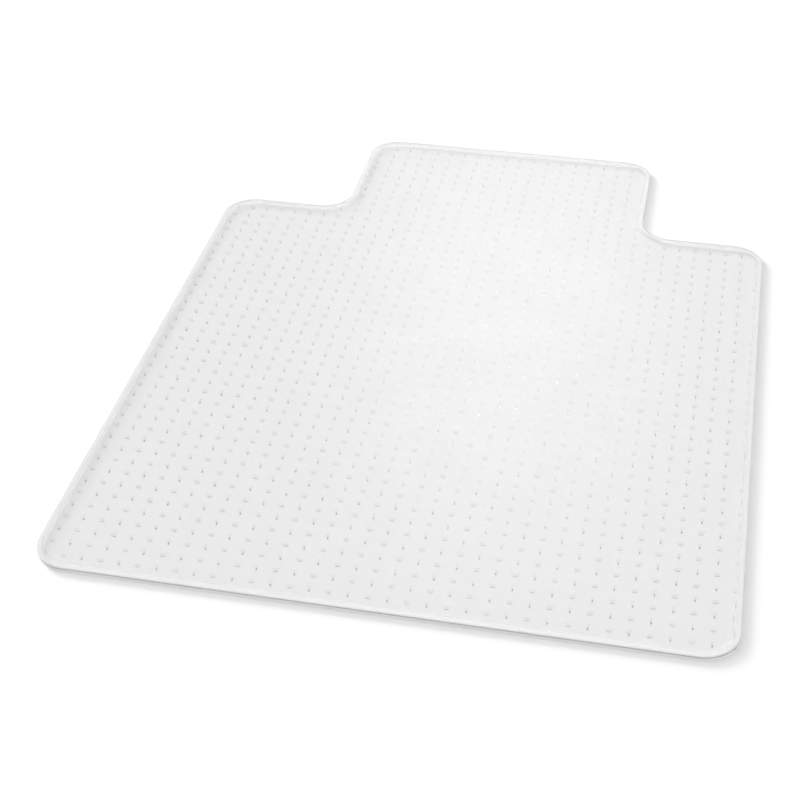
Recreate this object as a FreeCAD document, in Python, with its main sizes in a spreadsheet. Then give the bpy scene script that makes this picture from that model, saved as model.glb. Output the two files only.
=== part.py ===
"""Chair mat with a lip, for carpet: a parametric FreeCAD model in millimetres.

A flexible vinyl sheet, a rectangle for the chair with a narrower lip that goes in under the desk, stands on
small wedge-shaped cleats that press into the carpet. The cleats lie on a square grid and turn by a quarter
turn from each cell to the next, like the squares of a chessboard.

Frame: +Z up, +X to the right, +Y towards the lip. The origin is under the centre of the whole mat, at the
level of the cleats' tips.
"""
import FreeCAD
import Part
import Sketcher
import math
import os

DOCUMENT = FreeCAD.newDocument("chair_mat")

# Driving dimensions: alias, millimetres (or a plain count), meaning.
DIMENSIONS = (
    ("mat_width", 914.4, "side to side, 36 in"),
    ("mat_length", 1219.2, "near edge to the end of the lip, 48 in"),
    ("lip_width", 508.0, "side to side, 20 in"),
    ("lip_length", 254.0, "shoulder to the end of the lip, 10 in"),
    ("corner_radius", 50.8, "all outer corners and the two inner ones, 2 in"),
    ("sheet_thickness", 2.5, "flat sheet without its cleats"),
    ("edge_round", 0.8, "round along the sheet's top edge"),
    ("cleat_pitch", 25.4, "grid cell, 1 in"),
    ("cleat_height", 4.0, "from the sheet down to the tip"),
    ("cleat_root_length", 8.0, "where the cleat meets the sheet"),
    ("cleat_root_width", 3.2, "where the cleat meets the sheet"),
    ("cleat_tip_length", 7.0, "at the tip"),
    ("cleat_tip_width", 0.8, "at the tip"),
    ("grid_shift_right", 3.75, "the grid lies off centre by this much towards +X"),
    ("grid_shift_far", 2.5, "and by this much towards +Y"),
    ("cleat_clearance", 2.0, "least distance from a cleat's centre to the sheet's edge"),
)

# The cell in the right-hand shoulder's round has no cleat, counted from the near left cell (0, 0).
BARE_CELLS = ((28, 37),)


# ---------------------------------------------------------------- the sheet of dimensions

def make_dimension_sheet():
    """Write the driving dimensions into a spreadsheet, one aliased cell each."""
    sheet = DOCUMENT.addObject("Spreadsheet::Sheet", "dimensions")
    for row, (alias, value, meaning) in enumerate(DIMENSIONS, start=1):
        sheet.set("A%d" % row, alias)
        sheet.set("B%d" % row, str(value))
        sheet.set("C%d" % row, meaning)
        sheet.setAlias("B%d" % row, alias)
    DOCUMENT.recompute()
    return sheet


SHEET = make_dimension_sheet()


def size(alias):
    """A driving dimension, read back from the spreadsheet."""
    return float(SHEET.get(alias))


def bind(feature, prop, expression):
    """Bind a property to the spreadsheet; the names in the expression are aliases."""
    for alias, _, _ in DIMENSIONS:
        expression = expression.replace("{%s}" % alias, "dimensions.%s" % alias)
    feature.setExpression(prop, expression)


# ---------------------------------------------------------------- the vinyl sheet

def outline_points():
    """The sheet's outline with sharp corners, anticlockwise from the near left corner."""
    side = size("mat_width") / 2
    lip_side = size("lip_width") / 2
    far = size("mat_length") / 2
    shoulder = far - size("lip_length")
    return [(-side, -far), (side, -far), (side, shoulder), (lip_side, shoulder),
            (lip_side, far), (-lip_side, far), (-lip_side, shoulder), (-side, shoulder)]


def draw_outline(body):
    """Sketch the sharp-cornered outline on the body's XY plane and constrain it fully."""
    sketch = body.newObject("Sketcher::SketchObject", "outline")
    planes = {plane.Role: plane for plane in body.Origin.OriginFeatures}
    sketch.AttachmentSupport = [(planes["XY_Plane"], "")]
    sketch.MapMode = "FlatFace"

    points = [FreeCAD.Vector(x, y, 0) for x, y in outline_points()]
    count = len(points)
    for index in range(count):
        sketch.addGeometry(Part.LineSegment(points[index], points[(index + 1) % count]), False)
    start, end, vertical_axis, origin = 1, 2, -2, -1
    near_edge, right_shoulder, right_of_lip, lip_end, left_of_lip, left_shoulder = 0, 2, 3, 4, 5, 6
    for index in range(count):
        sketch.addConstraint(Sketcher.Constraint("Coincident", index, end, (index + 1) % count, start))
        if index % 2 == 1:
            sketch.addConstraint(Sketcher.Constraint("Vertical", index))
    for line in (right_shoulder, left_shoulder):
        sketch.addConstraint(Sketcher.Constraint("Horizontal", line))
    for line in (near_edge, lip_end):
        sketch.addConstraint(Sketcher.Constraint("Symmetric", line, start, line, end, vertical_axis))
    sketch.addConstraint(Sketcher.Constraint("Equal", right_of_lip, left_of_lip))

    driving = (
        ("width", "DistanceX", near_edge, start, near_edge, end, "{mat_width}"),
        ("lip_width", "DistanceX", lip_end, end, lip_end, start, "{lip_width}"),
        ("lip_length", "DistanceY", right_of_lip, start, right_of_lip, end, "{lip_length}"),
        ("length", "DistanceY", near_edge, start, lip_end, end, "{mat_length}"),
        ("near_to_centre", "DistanceY", near_edge, start, origin, start, "{mat_length} / 2"),
    )
    for name, kind, line, point, other_line, other_point, expression in driving:
        index = sketch.addConstraint(
            Sketcher.Constraint(kind, line, point, other_line, other_point, size("mat_width")))
        sketch.renameConstraint(index, name)
        bind(sketch, "Constraints.%s" % name, expression)
    return sketch


def upright_edges(shape):
    """The names of a shape's straight edges that run along Z."""
    names = []
    for number, edge in enumerate(shape.Edges, start=1):
        low, high = edge.Vertexes[0].Point, edge.Vertexes[-1].Point
        if math.hypot(high.x - low.x, high.y - low.y) < 1e-6 and abs(high.z - low.z) > 1e-6:
            names.append("Edge%d" % number)
    return names


def edges_at_height(shape, height):
    """The names of a shape's edges that lie wholly at one height."""
    names = []
    for number, edge in enumerate(shape.Edges, start=1):
        box = edge.BoundBox
        if abs(box.ZMin - height) < 1e-6 and abs(box.ZMax - height) < 1e-6:
            names.append("Edge%d" % number)
    return names


def make_mat_sheet():
    """The whole flat sheet with its lip: padded outline, rounded corners, eased top edge."""
    body = DOCUMENT.addObject("PartDesign::Body", "mat_sheet")
    body.Label = "mat_sheet"
    sketch = draw_outline(body)

    pad = body.newObject("PartDesign::Pad", "flat_sheet")
    pad.Profile = sketch
    bind(pad, "Length", "{sheet_thickness}")
    DOCUMENT.recompute()

    corners = body.newObject("PartDesign::Fillet", "rounded_corners")
    corners.Base = (pad, upright_edges(pad.Shape))
    bind(corners, "Radius", "{corner_radius}")
    DOCUMENT.recompute()

    eased = body.newObject("PartDesign::Fillet", "eased_top_edge")
    eased.Base = (corners, edges_at_height(corners.Shape, size("sheet_thickness")))
    bind(eased, "Radius", "{edge_round}")
    body.Tip = eased
    bind(body, "Placement.Base.z", "{cleat_height}")
    DOCUMENT.recompute()
    return body


# ---------------------------------------------------------------- the cleats

def make_master_cleat():
    """One cleat, its root centred on the origin and its tip pointing down, lying along Y."""
    cleat = DOCUMENT.addObject("Part::Wedge", "master_cleat")
    bind(cleat, "Xmin", "-{cleat_root_width} / 2")
    bind(cleat, "Xmax", "{cleat_root_width} / 2")
    bind(cleat, "Zmin", "-{cleat_root_length} / 2")
    bind(cleat, "Zmax", "{cleat_root_length} / 2")
    bind(cleat, "X2min", "-{cleat_tip_width} / 2")
    bind(cleat, "X2max", "{cleat_tip_width} / 2")
    bind(cleat, "Z2min", "-{cleat_tip_length} / 2")
    bind(cleat, "Z2max", "{cleat_tip_length} / 2")
    cleat.Ymin = 0
    bind(cleat, "Ymax", "{cleat_height}")
    cleat.Placement = FreeCAD.Placement(FreeCAD.Vector(), FreeCAD.Rotation(FreeCAD.Vector(1, 0, 0), -90))
    DOCUMENT.recompute()
    return cleat


def cell_centre(column, row):
    """The middle of a grid cell; cell (0, 0) is the near left one."""
    pitch = size("cleat_pitch")
    left = -(size("mat_width") - pitch) / 2
    near = -size("mat_length") / 2 + pitch
    return (left + column * pitch + size("grid_shift_right"),
            near + row * pitch + size("grid_shift_far"))


def underside_of(mat_sheet):
    """The sheet's flat lower face, which the cleats stand out from."""
    return min(mat_sheet.Shape.Faces, key=lambda face: face.BoundBox.ZMax)


def grid_cells(underside):
    """All grid cells with a cleat: those whose centre is far enough inside the sheet's edge."""
    pitch = size("cleat_pitch")
    columns = round(size("mat_width") / pitch)
    rows = round(size("mat_length") / pitch) - 1
    cells = []
    for row in range(rows):
        for column in range(columns):
            x, y = cell_centre(column, row)
            centre = FreeCAD.Vector(x, y, size("cleat_height"))
            inside = underside.isInside(centre, 1e-3, True)
            edge_distance = underside.OuterWire.distToShape(Part.Vertex(centre))[0]
            if inside and edge_distance >= size("cleat_clearance") and (column, row) not in BARE_CELLS:
                cells.append((column, row))
    return cells


def is_lengthwise(cell):
    """Cleats lie along Y and along X in turn, like the two colours of a chessboard."""
    return sum(cell) % 2 == 0


def outer_corner_cells(cells):
    """The cell nearest to each of the sheet's six outer corners."""
    inner_corners = (3, 6)
    corners = [point for index, point in enumerate(outline_points()) if index not in inner_corners]

    def distance(cell, corner):
        x, y = cell_centre(*cell)
        return math.hypot(x - corner[0], y - corner[1])

    return [min(cells, key=lambda cell: distance(cell, corner)) for corner in corners]


def place_cleats(label, cells, master, underside):
    """One node of separate cleats, each trimmed where it would stand out past the sheet's edge."""
    below_sheet = underside.extrude(FreeCAD.Vector(0, 0, -size("cleat_height")))
    quarter_turn = FreeCAD.Rotation(FreeCAD.Vector(0, 0, 1), 90)
    solids = []
    for cell in cells:
        x, y = cell_centre(*cell)
        turn = FreeCAD.Rotation() if is_lengthwise(cell) else quarter_turn
        cleat = master.Shape.copy()
        cleat.Placement = FreeCAD.Placement(
            FreeCAD.Vector(x, y, size("cleat_height")), turn).multiply(master.Placement)
        edge_distance = underside.OuterWire.distToShape(cleat)[0]
        if edge_distance < 1e-6:
            cleat = cleat.common(below_sheet).Solids[0]
        solids.append(cleat)
    feature = DOCUMENT.addObject("Part::Feature", label)
    feature.Label = label
    feature.Shape = Part.makeCompound(solids)
    feature.Placement = FreeCAD.Placement()
    return feature


def make_cleats(mat_sheet):
    """All the cleats, as five nodes: by direction on the main panel and on the lip, and the corners.

    The master cleat is copied in this file's own code, because a chessboard that fills a T-shaped
    outline is no linear or polar pattern.
    """
    master = make_master_cleat()
    underside = underside_of(mat_sheet)
    cells = grid_cells(underside)
    corner_cells = outer_corner_cells(cells)
    shoulder = outline_points()[2][1]

    groups = {"corner_cleats": corner_cells}
    for cell in cells:
        if cell in corner_cells:
            continue
        region = "lip" if cell_centre(*cell)[1] > shoulder else "panel"
        direction = "lengthwise" if is_lengthwise(cell) else "crosswise"
        groups.setdefault("%s_%s_cleats" % (region, direction), []).append(cell)
    for label, members in groups.items():
        print("%s: %d cleats" % (label, len(members)))
    return [place_cleats(label, members, master, underside) for label, members in groups.items()]


# ---------------------------------------------------------------- build, test and write

def check(sub_parts):
    """Stop if any object of the document failed or a sub-part's shape is not sound."""
    DOCUMENT.recompute()
    for item in DOCUMENT.Objects:
        if "Invalid" in item.State or "Error" in item.State:
            raise RuntimeError("%s is %s" % (item.Name, item.State))
    for item in sub_parts:
        if item.Shape.isNull() or not item.Shape.isValid() or not item.Shape.Solids:
            raise RuntimeError("%s has no valid solid" % item.Label)


def main():
    """Build every sub-part and write one STEP file for each."""
    mat_sheet = make_mat_sheet()
    sub_parts = [mat_sheet] + make_cleats(mat_sheet)
    check(sub_parts)
    os.makedirs("parts", exist_ok=True)
    for item in sub_parts:
        item.Shape.exportStep(os.path.join("parts", item.Label + ".step"))
        box = item.Shape.BoundBox
        print("%-26s %4d solids, %.1f cm3, z %.2f to %.2f mm"
              % (item.Label, len(item.Shape.Solids), item.Shape.Volume / 1000, box.ZMin, box.ZMax))


main()
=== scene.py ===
"""The looks of a clear vinyl chair mat with a lip, standing on its carpet cleats on a plain white floor.

Metres, in the row's frame: +Z up, +Y towards the lip, the cleats' tips on z = 0.
"""
import math

import bmesh
import bpy
from mathutils import Matrix, Vector


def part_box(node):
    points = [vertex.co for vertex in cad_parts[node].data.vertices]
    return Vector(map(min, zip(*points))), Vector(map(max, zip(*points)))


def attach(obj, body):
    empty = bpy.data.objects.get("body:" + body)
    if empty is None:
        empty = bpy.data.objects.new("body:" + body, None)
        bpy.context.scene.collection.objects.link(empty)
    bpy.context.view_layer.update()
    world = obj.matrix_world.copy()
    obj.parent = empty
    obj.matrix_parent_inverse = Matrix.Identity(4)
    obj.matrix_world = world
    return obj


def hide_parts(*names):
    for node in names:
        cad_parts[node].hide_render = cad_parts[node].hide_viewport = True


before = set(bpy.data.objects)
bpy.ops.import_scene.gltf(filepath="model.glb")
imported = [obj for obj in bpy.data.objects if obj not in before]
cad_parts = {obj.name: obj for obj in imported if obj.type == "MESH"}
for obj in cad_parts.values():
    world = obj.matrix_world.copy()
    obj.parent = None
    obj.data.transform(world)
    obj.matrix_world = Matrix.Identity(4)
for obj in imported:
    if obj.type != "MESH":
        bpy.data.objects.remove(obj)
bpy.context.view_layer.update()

# ---------------------------------------------------------------- sizes, in metres

SHEET_LOW, SHEET_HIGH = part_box("mat_sheet")
LIP_WIDTH = 0.508
LIP_LENGTH = 0.254
CORNER_RADIUS = 0.0508
CORNER_SEGMENTS = 24
TOP_ROUND = 0.0008                  # radius along the top edge
BOTTOM_ROUND = 0.0003               # radius along the bottom edge
ROUND_SEGMENTS = 4

BORDER_ATTRIBUTE = "border"         # 1 along the sheet's outline, 0 inside the paler, less see-through border; that border is painted shade over the floor lit under the edge
BORDER_STEPS = ((0.0045, 1.0), (0.0110, 0.0))    # distance in from the outline, and the value there

CLEAT_ROOT = (0.0080, 0.0032)       # length and width where it meets the sheet
CLEAT_TIP = {"lengthwise": (0.0052, 0.0019), "crosswise": (0.0068, 0.0014)}
CLEAT_CORNER = 0.5                  # a ring's corner radius, as a share of half its width
CLEAT_CORNER_SEGMENTS = 3
CLEAT_EMBED = 0.0002                # the root goes into the sheet by this much, so no faces coincide
SAME_POINT = 1e-6                   # CAD points closer than this are one point

# share of the way from root (0) to tip (1), and how much the ring is grown (+) or drawn in (-)
CLEAT_RINGS = ((0.00, 0.0005), (0.05, 0.0002), (0.14, 0.0), (0.55, 0.0), (0.90, 0.0),
               (0.975, -0.00015), (1.0, -0.00032))

FLOOR_HALF_SIZE = 15.0
FLOOR_GAP = 0.0001                  # the floor is this far under the tips, so no faces coincide


# ---------------------------------------------------------------- small helpers

def new_object(name, data):
    """An object in the scene, made from a mesh, a camera or a light."""
    obj = bpy.data.objects.new(name, data)
    bpy.context.scene.collection.objects.link(obj)
    return obj


def new_mesh_object(name, bm):
    """A mesh object in the scene. It uses up the bmesh."""
    mesh = bpy.data.meshes.new(name)
    bm.to_mesh(mesh)
    bm.free()
    return new_object(name, mesh)


def facing_matrix(place, aim):
    """Stands at one place and faces another, as a camera or a light does."""
    turn = (aim - place).to_track_quat("-Z", "Y").to_matrix().to_4x4()
    return Matrix.Translation(place) @ turn


def grey(level):
    return level, level, level, 1.0


def set_inputs(node, values):
    for name, value in values.items():
        node.inputs[name].default_value = value


def map_range(tree, value, low, high, to_low, to_high):
    """A socket's value with low..high turned into to_low..to_high, and held at the ends beyond them."""
    level = tree.nodes.new("ShaderNodeMapRange")
    set_inputs(level, {"From Min": low, "From Max": high, "To Min": to_low, "To Max": to_high})
    tree.links.new(value, level.inputs["Value"])
    return level.outputs["Result"]


def principled(name, **values):
    """A material, its node tree and its Principled shader, with the shader's inputs set by name."""
    material = bpy.data.materials.new(name)
    material.use_nodes = True
    tree = material.node_tree
    shader = tree.nodes["Principled BSDF"]
    set_inputs(shader, {key.replace("_", " "): value for key, value in values.items()})
    return material, tree, shader


# ---------------------------------------------------------------- camera, light and floor

CAMERA_PLACE = Vector((0.3477, -2.0657, 1.4550))
CAMERA_AIM = Vector((-0.0526, -0.1628, 0.0))
CAMERA_ROLL = math.radians(-0.48)
CAMERA_LENS = 74.43                 # millimetres
CAMERA_SENSOR = 36.0                # millimetres

SOFTBOX_PLACE = Vector((-0.60, 5.48, 3.83))
SOFTBOX_AIM = Vector((0.075, 0.02, 0.0))
SOFTBOX_SIZE = (1.4, 1.5)           # across and along
SOFTBOX_POWER = 61.0                # watts


def add_camera():
    data = bpy.data.cameras.new("camera")
    data.lens = CAMERA_LENS
    data.sensor_width = CAMERA_SENSOR
    camera = new_object("camera", data)
    camera.matrix_world = facing_matrix(CAMERA_PLACE, CAMERA_AIM) @ Matrix.Rotation(CAMERA_ROLL, 4, "Z")
    bpy.context.scene.camera = camera


def add_softbox():
    """A softbox behind the mat, which the mat mirrors as a broad glare."""
    data = bpy.data.lights.new("back_softbox", "AREA")
    data.shape = "RECTANGLE"
    data.size, data.size_y = SOFTBOX_SIZE
    data.energy = SOFTBOX_POWER
    light = new_object("back_softbox", data)
    light.matrix_world = facing_matrix(SOFTBOX_PLACE, SOFTBOX_AIM)


def add_sun(name, azimuth, elevation, softness, strength):
    """Azimuth and elevation, in degrees, of where the light comes from; azimuth 0 is +Y, 90 is +X."""
    data = bpy.data.lights.new(name, "SUN")
    data.energy = strength
    data.angle = math.radians(softness)
    light = new_object(name, data)
    a, e = math.radians(azimuth), math.radians(elevation)
    source = Vector((math.sin(a) * math.cos(e), math.cos(a) * math.cos(e), math.sin(e)))
    light.matrix_world = source.to_track_quat("Z", "Y").to_matrix().to_4x4()
    light.visible_glossy = False


def add_world(backdrop, room, backdrop_top, room_start):
    """A bright backdrop near the horizon and a dimmer room above it; heights are sines of elevation."""
    world = bpy.data.worlds.new("studio")
    bpy.context.scene.world = world
    world.use_nodes = True
    tree = world.node_tree
    direction = tree.nodes.new("ShaderNodeTexCoord")
    split = tree.nodes.new("ShaderNodeSeparateXYZ")
    background = tree.nodes["Background"]
    background.inputs["Color"].default_value = grey(1.0)
    tree.links.new(direction.outputs["Generated"], split.inputs["Vector"])
    strength = map_range(tree, split.outputs["Z"], backdrop_top, room_start, backdrop, room)
    tree.links.new(strength, background.inputs["Strength"])


def add_floor():
    bm = bmesh.new()
    place = Matrix.Translation((0.0, 0.0, -FLOOR_GAP))
    bmesh.ops.create_grid(bm, x_segments=1, y_segments=1, size=FLOOR_HALF_SIZE, matrix=place)
    floor = new_mesh_object("floor", bm)
    material, _, _ = principled("white_floor", Base_Color=grey(0.9), Roughness=0.9, Specular_IOR_Level=0.0)
    floor.data.materials.append(material)


add_camera()
add_world(backdrop=1.0, room=0.20, backdrop_top=0.17, room_start=0.30)
add_softbox()
add_sun("back_window", azimuth=-52, elevation=17.5, softness=18, strength=2.5)
add_sun("left_window", azimuth=-70, elevation=34, softness=50, strength=1.65)
add_sun("ceiling", azimuth=-52, elevation=85, softness=60, strength=0.94)
add_floor()
bpy.context.scene.view_settings.view_transform = "Standard"


# ---------------------------------------------------------------- materials

NOISE_LOW, NOISE_HIGH = 0.3, 0.7    # most of a noise texture's values lie between these


def noise(tree, scale, detail, low, high):
    """A number that drifts between low and high over the object, in blotches of about 1 / scale metres."""
    place = tree.nodes.new("ShaderNodeTexCoord")
    texture = tree.nodes.new("ShaderNodeTexNoise")
    set_inputs(texture, {"Scale": scale, "Detail": detail})
    tree.links.new(place.outputs["Object"], texture.inputs["Vector"])
    return map_range(tree, texture.outputs["Fac"], NOISE_LOW, NOISE_HIGH, low, high)


def add_bump(tree, shader, height, distance):
    """Fine relief: height is a socket from 0 to 1, and distance is the relief's depth in metres."""
    bump = tree.nodes.new("ShaderNodeBump")
    set_inputs(bump, {"Strength": 1.0, "Distance": distance})
    tree.links.new(height, bump.inputs["Height"])
    tree.links.new(bump.outputs["Normal"], shader.inputs["Normal"])


def opacity_by_angle(tree, face_on, glancing, start, end):
    """Opacity that changes from face_on to glancing; start and end are 1 - cos(angle from the normal)."""
    facing = tree.nodes.new("ShaderNodeLayerWeight")
    facing.inputs["Blend"].default_value = 0.5
    return map_range(tree, facing.outputs["Facing"], start, end, face_on, glancing)


def add_light_hiding_border(tree, shader, opacity, clear, border_grey, extra_opacity):
    """Towards the outline the sheet turns a paler grey and less see-through: painted shade that hides the
    floor which light under the edge brightens there.
    """
    border = tree.nodes.new("ShaderNodeAttribute")
    border.attribute_name = BORDER_ATTRIBUTE
    colour = tree.nodes.new("ShaderNodeMix")
    colour.data_type = "RGBA"
    set_inputs(colour, {"A": clear, "B": border_grey})
    tree.links.new(border.outputs["Fac"], colour.inputs["Factor"])
    tree.links.new(colour.outputs["Result"], shader.inputs["Base Color"])
    total = tree.nodes.new("ShaderNodeMath")
    total.operation = "MULTIPLY_ADD"
    total.use_clamp = True
    tree.links.new(border.outputs["Fac"], total.inputs[0])
    total.inputs[1].default_value = extra_opacity
    tree.links.new(opacity, total.inputs[2])
    tree.links.new(total.outputs["Value"], shader.inputs["Alpha"])


def make_sheet_material():
    """Clear, finely frosted vinyl: mostly see-through, with a soft sheen, and a border of painted shade
    that hides the lit floor under the edge.
    """
    material, tree, shader = principled("frosted_clear_vinyl", IOR=1.5)
    opacity = opacity_by_angle(tree, face_on=0.22, glancing=0.24, start=0.50, end=0.90)
    # The border's paler grey and extra opacity are painted shade over the floor lit under the sheet's
    # edge.
    add_light_hiding_border(tree, shader, opacity, clear=grey(0.78), border_grey=grey(0.83), extra_opacity=0.38)
    roughness = noise(tree, scale=7.0, detail=3.0, low=0.28, high=0.34)
    tree.links.new(roughness, shader.inputs["Roughness"])
    frosting = noise(tree, scale=700.0, detail=2.0, low=0.0, high=1.0)
    add_bump(tree, shader, frosting, distance=0.000012)
    return material


def make_edge_material():
    """The sheet's side wall, which is nearly opaque and darker than its faces."""
    material, tree, shader = principled("vinyl_edge", Base_Color=grey(0.46), Alpha=0.92)
    roughness = noise(tree, scale=60.0, detail=3.0, low=0.22, high=0.40)
    tree.links.new(roughness, shader.inputs["Roughness"])
    grain = noise(tree, scale=900.0, detail=2.0, low=0.0, high=1.0)
    add_bump(tree, shader, grain, distance=0.00003)
    return material


def make_cleat_side_material(name, level, alpha):
    """A cleat's sides: a grey level, mostly see-through; clear vinyl on the flanks, and painted shade on
    the one darker end.
    """
    material, tree, shader = principled(name, Base_Color=grey(level), Alpha=alpha)
    roughness = noise(tree, scale=80.0, detail=2.0, low=0.20, high=0.32)
    tree.links.new(roughness, shader.inputs["Roughness"])
    return material


def make_tip_material():
    """Dark metal, standing in for the light that clear vinyl reflects totally at a cleat's tip."""
    material, tree, shader = principled("mirroring_cleat_tips", Base_Color=grey(0.36), Metallic=1.0,
                                        Roughness=0.20)
    opacity = noise(tree, scale=60.0, detail=1.0, low=0.84, high=1.0)
    tree.links.new(opacity, shader.inputs["Alpha"])
    return material


# ---------------------------------------------------------------- the sheet

FACE, SIDE_WALL = 0, 1              # material slots of the sheet


def rounded_outline():
    """Points round the mat with their outward normals, anticlockwise from above."""
    side, near = SHEET_HIGH.x, SHEET_LOW.y
    far, lip = SHEET_HIGH.y, LIP_WIDTH / 2
    shoulder = far - LIP_LENGTH
    r = CORNER_RADIUS
    # arc centre, first normal angle in degrees, turn: +90 round an outer corner, -90 round an inner one
    corners = (
        (side - r, near + r, -90, 90), (side - r, shoulder - r, 0, 90),
        (lip + r, shoulder + r, 90, -90), (lip - r, far - r, 0, 90),
        (-lip + r, far - r, 90, 90), (-lip - r, shoulder + r, 180, -90),
        (-side + r, shoulder - r, 90, 90), (-side + r, near + r, 180, 90),
    )
    outline = []
    for x, y, start, turn in corners:
        for step in range(CORNER_SEGMENTS + 1):
            angle = math.radians(start + turn * step / CORNER_SEGMENTS)
            normal = Vector((math.cos(angle), math.sin(angle), 0.0))
            outward = 1 if turn > 0 else -1
            outline.append((Vector((x, y, 0.0)) + normal * r * outward, normal))
    return outline


def edge_profile():
    """(inset, height) from the underside, up the side wall, to the top face."""
    bottom = (BOTTOM_ROUND, SHEET_LOW.z + BOTTOM_ROUND, -90)
    top = (TOP_ROUND, SHEET_HIGH.z - TOP_ROUND, 0)
    profile = []
    for radius, centre_z, start in (bottom, top):
        for step in range(ROUND_SEGMENTS + 1):
            angle = math.radians(start + 90 * step / ROUND_SEGMENTS)
            profile.append((radius * (1 - math.cos(angle)), centre_z + radius * math.sin(angle)))
    return profile


def build_sheet():
    """The sheet as rings from the middle of its underside, round the edge, to the middle of its top."""
    outline = rounded_outline()
    under = [(inset, SHEET_LOW.z, border) for inset, border in reversed(BORDER_STEPS)]
    over = [(inset, SHEET_HIGH.z, border) for inset, border in BORDER_STEPS]
    edge = [(inset, height, 1.0) for inset, height in edge_profile()]
    # the bands of the bottom rounding and the straight wall; the top rounding belongs to the face
    side_wall = range(len(under), len(under) + len(edge) // 2)
    bm = bmesh.new()
    border_layer = bm.verts.layers.float.new(BORDER_ATTRIBUTE)
    rings = []
    for inset, height, border in under + edge + over:
        ring = []
        for point, normal in outline:
            vertex = bm.verts.new((point.x - normal.x * inset, point.y - normal.y * inset, height))
            vertex[border_layer] = border
            ring.append(vertex)
        rings.append(ring)
    for band, (lower, upper) in enumerate(zip(rings, rings[1:])):
        for i in range(len(outline)):
            j = (i + 1) % len(outline)
            face = bm.faces.new((lower[i], lower[j], upper[j], upper[i]))
            face.smooth = True
            face.material_index = SIDE_WALL if band in side_wall else FACE
    bm.faces.new(rings[-1])
    bm.faces.new(list(reversed(rings[0])))
    sheet = new_mesh_object("frosted_sheet", bm)
    sheet.data.materials.append(make_sheet_material())
    sheet.data.materials.append(make_edge_material())
    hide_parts("mat_sheet")
    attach(sheet, "root")


# ---------------------------------------------------------------- the cleats

FLANK, SHADED_END, TIP = 0, 1, 2           # material slots of a cleat; the shaded end's slot carries painted shade
SHADED_END_FACING = 0.7                    # a face belongs to the painted-shade end when its normal is this much along it


def cleat_boxes(node):
    """(low corner, high corner) of each separate cleat in a CAD node, found by joining its faces."""
    bm = bmesh.new()
    bm.from_mesh(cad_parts[node].data)
    bmesh.ops.remove_doubles(bm, verts=bm.verts, dist=SAME_POINT)
    seen, boxes = set(), []
    for first in bm.verts:
        if first in seen:
            continue
        island, frontier = [], [first]
        seen.add(first)
        while frontier:
            vertex = frontier.pop()
            island.append(vertex.co.copy())
            for edge in vertex.link_edges:
                other = edge.other_vert(vertex)
                if other not in seen:
                    seen.add(other)
                    frontier.append(other)
        low = Vector([min(co[axis] for co in island) for axis in range(3)])
        high = Vector([max(co[axis] for co in island) for axis in range(3)])
        boxes.append((low, high))
    bm.free()
    return boxes


def ring_points(half_length, half_width):
    """A rounded oblong round the origin, lying along X."""
    radius = min(half_width, half_length) * CLEAT_CORNER
    points = []
    for quadrant, (sx, sy) in enumerate(((1, 1), (-1, 1), (-1, -1), (1, -1))):
        for step in range(CLEAT_CORNER_SEGMENTS + 1):
            angle = math.radians(90 * quadrant + 90 * step / CLEAT_CORNER_SEGMENTS)
            points.append((sx * (half_length - radius) + radius * math.cos(angle),
                           sy * (half_width - radius) + radius * math.sin(angle)))
    return points


def add_cleat(bm, low, high):
    """One rounded wedge in a cleat's box, its root a little way into the sheet, with painted shade on one
    end.
    """
    size = high - low
    centre = (low + high) / 2
    lengthwise = size.y > size.x
    root, tip = CLEAT_ROOT, CLEAT_TIP["lengthwise" if lengthwise else "crosswise"]
    # One end of each cleat, the near one on lengthwise cleats and the right one on crosswise ones, gets
    # the near-black end material: painted shade.
    painted_shade_end = Vector((0, -1, 0)) if lengthwise else Vector((1, 0, 0))
    stretch = max(size.x, size.y) / root[0]
    rings = []
    for share, grow in CLEAT_RINGS:
        half_length = (root[0] + (tip[0] - root[0]) * share) / 2 * stretch + grow
        half_width = (root[1] + (tip[1] - root[1]) * share) / 2 + grow
        height = high.z - share * size.z + (CLEAT_EMBED if share == 0 else 0.0)
        ring = []
        for along, across in ring_points(half_length, half_width):
            x, y = (-across, along) if lengthwise else (along, across)
            ring.append(bm.verts.new((centre.x + x, centre.y + y, height)))
        rings.append(ring)
    count = len(rings[0])
    last_band = len(rings) - 2
    for band, (upper, lower) in enumerate(zip(rings, rings[1:])):
        for i in range(count):
            j = (i + 1) % count
            face = bm.faces.new((lower[i], lower[j], upper[j], upper[i]))
            face.smooth = True
            face.normal_update()
            at_shaded_end = face.normal.dot(painted_shade_end) > SHADED_END_FACING
            face.material_index = SHADED_END if at_shaded_end and band < last_band else FLANK
    bm.faces.new(rings[0]).material_index = FLANK
    bm.faces.new(list(reversed(rings[-1]))).material_index = TIP


def build_cleats(node, materials):
    """All the cleats of one CAD node as one piece."""
    bm = bmesh.new()
    for low, high in cleat_boxes(node):
        add_cleat(bm, low, high)
    cleats = new_mesh_object("rounded_" + node, bm)
    for material in materials:
        cleats.data.materials.append(material)
    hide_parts(node)
    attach(cleats, "root")


build_sheet()
cleat_materials = (
    make_cleat_side_material("clear_cleat_sides", level=0.50, alpha=0.03),
    # The ends' near-black grey is painted shade on one end of each cleat.
    make_cleat_side_material("painted_shade_cleat_ends", level=0.06, alpha=0.13),
    make_tip_material(),
)
for node in sorted(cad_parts):
    if node.endswith("_cleats"):
        build_cleats(node, cleat_materials)
